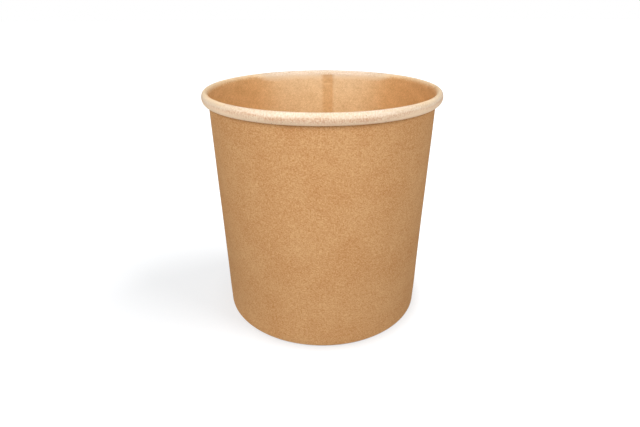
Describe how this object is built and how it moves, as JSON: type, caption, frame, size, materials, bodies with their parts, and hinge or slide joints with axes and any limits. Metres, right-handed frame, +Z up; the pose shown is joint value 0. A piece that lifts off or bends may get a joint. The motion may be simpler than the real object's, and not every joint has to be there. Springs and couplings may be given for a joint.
{
  "type": "paper soup cup",
  "caption": "Open round paper cup for soup, with a slightly tapered kraft board wall, a pale rolled rim and a raised bottom held in a folded foot.",
  "frame": {"origin": "on the cup's axis, on the surface that the foot stands on", "axes": "+Z up along the cup's axis, towards the open rim; +Y towards the glued lap; +X to the right when the lap is at the back"},
  "size_m": [0.098, 0.098, 0.098],
  "materials": {
    "wall_board": "brown kraft board, uncoated and fibrous outside, thin clear film inside, pale cream on the rolled rim",
    "disc_board": "brown kraft board, thin clear film on the upper face"
  },
  "bodies": {
    "root": {"side_wall": "wall_board", "bottom_disc": "disc_board"}
  },
  "joints": []
}
